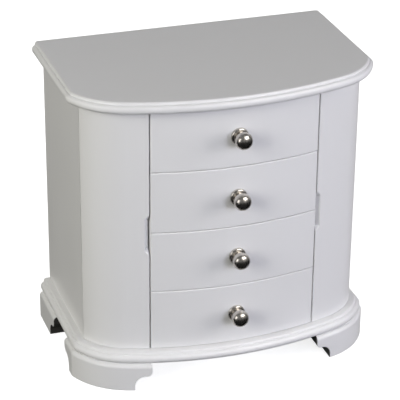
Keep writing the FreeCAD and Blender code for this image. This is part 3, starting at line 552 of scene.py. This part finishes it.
# ---------------------------------------------------------------- metal fittings of the case
# The door pivots turn in brass bushes; the lid's butt hinges are pressed from brass strip. The
# magnetic catches have a moulded ivory body.
def metal(name, light, dark, roughness, scale):
    """Bare or plated metal with handling marks; scale sets how fine they are."""
    material, shade = new_finish(name)
    place = object_place(shade)
    smear = noise_at(shade, place, scale, 4.0)
    drawn = shade.node("ShaderNodeMapping", None, {"Vector": place, "Scale": (1.0, 1.0, 14.0)})
    scratch = noise_at(shade, drawn, scale * 6, 3.0)
    edge, rounded = edge_mask(shade, 0.0003, 2.5)
    # Painted glint: edges are coloured 12% brighter than the clean metal.
    painted_glint = tuple(min(1.0, channel * 1.12) for channel in light)
    return finish_with(material, {
        "Base Color": edge.tint(smear.between(0.3, 0.7).tint(dark, light), painted_glint),
        "Metallic": 1.0,
        "Roughness": roughness + (smear - 0.5) * 0.14 + (scratch - 0.5) * 0.08,
        "Normal": bump(shade, scratch, 0.00002, 0.4, rounded)})


def moulded_plastic(name, colour):
    """Smooth plastic with a fine spark-eroded grain."""
    material, shade = new_finish(name)
    place = object_place(shade)
    cloud = noise_at(shade, place, 60.0, 3.0)
    spark = noise_at(shade, place, 3200.0)
    edge, rounded = edge_mask(shade, 0.0005, 2.0)
    darker = tuple(channel * 0.93 for channel in colour[:3]) + (1.0,)
    return finish_with(material, {
        # Painted highlight: edges keep the full, lighter colour while the faces are darkened by
        # the cloud.
        "Base Color": edge.tint(cloud.tint(darker, colour), colour),
        "Roughness": 0.48 + (spark - 0.5) * 0.12 - edge * 0.08,
        "Normal": bump(shade, spark, 0.00003, 0.5, rounded)})


brass = metal("dull_brass", (0.80, 0.62, 0.33, 1.0), (0.66, 0.49, 0.24, 1.0), 0.30, 180.0)
zinc = metal("zinc_steel", (0.64, 0.65, 0.67, 1.0), (0.52, 0.53, 0.55, 1.0), 0.36, 240.0)
dress("door_pivot_bushes", brass)
dress("lid_hinge_leaves_case", brass)
dress("catch_magnets", moulded_plastic("ivory_plastic", (0.80, 0.785, 0.75, 1.0)))


# ---------------------------------------------------------------- hinge screws of the case
# Four countersunk brass screws with cross recesses hold the lower hinge leaves down on the top
# frame. One tree turns a screw and sets it at each of its spots.
def turned_screw(tree, head_top, head_bottom, head_height, shank, shank_length):
    """A screw along Z with the top of its head at the origin and its shank below."""
    recess = head_top * 0.55
    cone = tree.node("GeometryNodeMeshCone", Vertices=24,
                     Radius_Top=tree.size("Head Top Radius", head_top),
                     Radius_Bottom=tree.size("Head Bottom Radius", head_bottom),
                     Depth=tree.size("Head Height", head_height))
    head = tree.node("GeometryNodeTransform", Geometry=cone,
                     Translation=(0.0, 0.0, -head_height))
    bars = [tree.node("GeometryNodeMeshCube", Size=size)
            for size in ((recess * 2.4, recess * 0.6, recess),
                         (recess * 0.6, recess * 2.4, recess * 0.96))]
    cross = tree.node("GeometryNodeMeshBoolean", {"operation": "UNION"}, Mesh_2=bars)
    driven = tree.node("GeometryNodeMeshBoolean", {"operation": "DIFFERENCE"},
                       Mesh_1=head, Mesh_2=cross)
    rod = tree.node("GeometryNodeMeshCylinder", Vertices=12,
                    Radius=tree.size("Shank Radius", shank),
                    Depth=tree.size("Shank Length", shank_length))
    low_rod = tree.node("GeometryNodeTransform", Geometry=rod,
                        Translation=(0.0, 0.0, -head_height - shank_length / 2))
    return tree.node("GeometryNodeJoinGeometry", Geometry=[driven, low_rod])


WOOD_HEAD, WOOD_SHANK, WOOD_SINK, WOOD_PITCH = 0.0016, 0.0008, 0.0009, 0.016


def hinge_screws(body, head_up):
    """Turned screws in the place of a body's plain ones, their heads up or down."""
    low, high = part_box(f"lid_hinge_screws_{body}")
    outer_x = high.x - WOOD_HEAD
    spots = [(side * (outer_x - step * WOOD_PITCH), (low.y + high.y) / 2,
              high.z if head_up else low.z) for side in (-1, 1) for step in (0, 1)]
    tree = Tree(f"hinge_screws_{body}")
    screw = turned_screw(tree, WOOD_HEAD, WOOD_SHANK, WOOD_SINK, WOOD_SHANK,
                         high.z - low.z - WOOD_SINK)
    piece = tree.piece_on(f"hinge_screws_{body}", spots, tree.node(
        "GeometryNodeInstanceOnPoints", Points=tree.inputs["Geometry"], Instance=screw,
        Rotation=(0.0 if head_up else math.pi, 0.0, 0.6)), brass)
    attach(piece, body)
    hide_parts(f"lid_hinge_screws_{body}")


hinge_screws("case", True)


# ---------------------------------------------------------------- lid
# A moulded board that rests on the top frame and swings on the upper hinge leaves, with a mirror
# glued into its underside. The mirror is given a haze, less than fully metallic, so that it
# stays pale where it faces the dark below the horizon.
dress("lid_panel", lacquer)
dress("lid_hinge_leaves_lid", brass)
dress("lid_hinge_pins", brass)
hinge_screws("lid", False)

mirror, shade = new_finish("silvered_glass")
haze = noise_at(shade, object_place(shade), 30.0, 5.0)
edge, rounded = edge_mask(shade, 0.0008, 2.0)
dress("lid_mirror", finish_with(mirror, {
    "Base Color": edge.tint((0.93, 0.94, 0.94, 1.0), (0.62, 0.72, 0.68, 1.0)), "Metallic": 0.65,
    "Roughness": 0.015 + haze * 0.03 + edge * 0.1,
    "Normal": bump(shade, haze, 0.00001, 0.1, rounded)}))


# ---------------------------------------------------------------- doors
# Curved boards that turn on steel pins, with a rail of brass hooks for necklaces inside and a
# steel strike for the catch.
for side in ("left", "right"):
    dress(f"door_panel_{side}", lacquer)
    dress(f"hook_rail_{side}", lacquer)
    dress(f"door_pivot_pins_{side}", zinc)
    dress(f"door_strike_{side}", zinc)
    dress(f"necklace_hooks_{side}", brass)


# ---------------------------------------------------------------- drawers
# Each drawer is a bowed front on a thin box, with felt on its floor and round its walls and a
# nickel knob that a pan-head screw holds from inside.
def turned_nickel(name, axis_z):
    """Satin nickel brushed on the lathe about the knob's own axis."""
    material, shade = new_finish(name)
    centred = shade.node("ShaderNodeMapping", None, {"Vector": object_place(shade),
                                                     "Location": (0.0, 0.0, -axis_z)})
    smear = noise_at(shade, centred, 160.0, 4.0)
    along = shade.node("ShaderNodeSeparateXYZ", None, {"Vector": centred}, "Y")
    lines = shade.node("ShaderNodeTexNoise", {"noise_dimensions": "1D"},
                       {"W": along, "Scale": 9000.0, "Detail": 2.0})
    return finish_with(material, {
        "Base Color": smear.tint((0.56, 0.53, 0.49, 1.0), (0.70, 0.665, 0.62, 1.0)),
        "Metallic": 1.0, "Roughness": 0.20 + smear * 0.08 + lines * 0.05,
        "Normal": shade.node("ShaderNodeBump", None, {"Strength": 0.25, "Distance": 0.00002,
                                                      "Height": lines})})


DEPTHS = 10
BEND, WALL_WAVE, SIDE_STEPS, BEND_STEPS, LEVELS = 0.002, 0.00008, 12, 5, 6


def floor_felt(number, half_width, back_y, front_at, z):
    """A felt on a drawer's bottom, cut round the front's curve."""
    piece = laid_felt(f"drawer_felt_{number}", (-half_width, half_width), back_y, front_at, z)
    depths = [back_y - front_at(half_width * (step / DEPTHS - 1))
              for step in range(DEPTHS * 2 + 1)]
    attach(piece, f"drawer_{number}")
    half_width * 2 * sum(depths) / len(depths)


def wall_felt(number, half_width, back_y, front_y, low_z, high_z):
    """One strip glued along the left side, the back and the right side of a drawer."""
    path = [Vector((-half_width, front_y + (back_y - BEND - front_y) * step / SIDE_STEPS))
            for step in range(SIDE_STEPS + 1)]
    for step in range(1, BEND_STEPS + 1):
        angle = math.pi - step * math.pi / (BEND_STEPS * 2)
        path.append(Vector((BEND - half_width + BEND * math.cos(angle),
                            back_y - BEND + BEND * math.sin(angle))))
    path += [Vector((-point.x, point.y)) for point in reversed(path)]
    rows = [[(point.x + noise.noise(Vector((point.y, point.x, level)) * 80) * WALL_WAVE, point.y,
              low_z + (high_z - low_z) * level / LEVELS) for level in range(LEVELS + 1)]
            for point in path]
    piece = felt_from_rows(f"drawer_wall_felt_{number}", rows)
    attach(piece, f"drawer_{number}")


PAN_HEAD, PAN_CROWN, PAN_HEIGHT, PAN_SHANK = 0.0038, 0.0028, 0.002, 0.00195


def knob_screw(number):
    """A turned pan-head screw in the place of a drawer's plain one."""
    low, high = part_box(f"knob_screw_{number}")
    tree = Tree(f"pan_head_screw_{number}")
    screw = turned_screw(tree, PAN_CROWN, PAN_HEAD, PAN_HEIGHT, PAN_SHANK,
                         high.y - low.y - PAN_HEIGHT)
    piece = tree.piece_on(f"pan_head_screw_{number}", [(0.0, high.y, (low.z + high.z) / 2)],
                          tree.node("GeometryNodeInstanceOnPoints",
                                    Points=tree.inputs["Geometry"], Instance=screw,
                                    Rotation=(-math.pi / 2, 0.0, 0.0)), zinc)
    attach(piece, f"drawer_{number}")
    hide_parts(f"knob_screw_{number}")


BOW_RADIUS, FRONT_THICKNESS, BOX_WALL = 0.364, 0.009, 0.005
WALL_DROP, WALL_CLEAR = 0.0015, 0.001
bow_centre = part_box("drawer_front_1")[0].y + BOW_RADIUS
felt_bow = BOW_RADIUS - FRONT_THICKNESS - FELT_GAP


def inside_front(x):
    return bow_centre - math.sqrt(felt_bow ** 2 - x ** 2)


for number in (1, 2, 3, 4):
    dress(f"drawer_front_{number}", lacquer)
    for part in ("sides", "back", "bottom"):
        dress(f"drawer_{part}_{number}", board_white)
    knob_low, knob_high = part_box(f"drawer_knob_{number}")
    dress(f"drawer_knob_{number}",
          turned_nickel(f"turned_nickel_{number}", (knob_low.z + knob_high.z) / 2))
    knob_screw(number)
    sides_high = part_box(f"drawer_sides_{number}")[1]
    lined_x = sides_high.x - BOX_WALL - GLUE - FELT
    lined_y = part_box(f"drawer_back_{number}")[0].y - GLUE - FELT
    floor_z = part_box(f"drawer_bottom_{number}")[1].z
    floor_felt(number, lined_x - GLUE, lined_y - GLUE, inside_front, floor_z)
    wall_felt(number, lined_x, lined_y, inside_front(lined_x) + WALL_CLEAR,
              floor_z + WALL_CLEAR, sides_high.z - WALL_DROP)
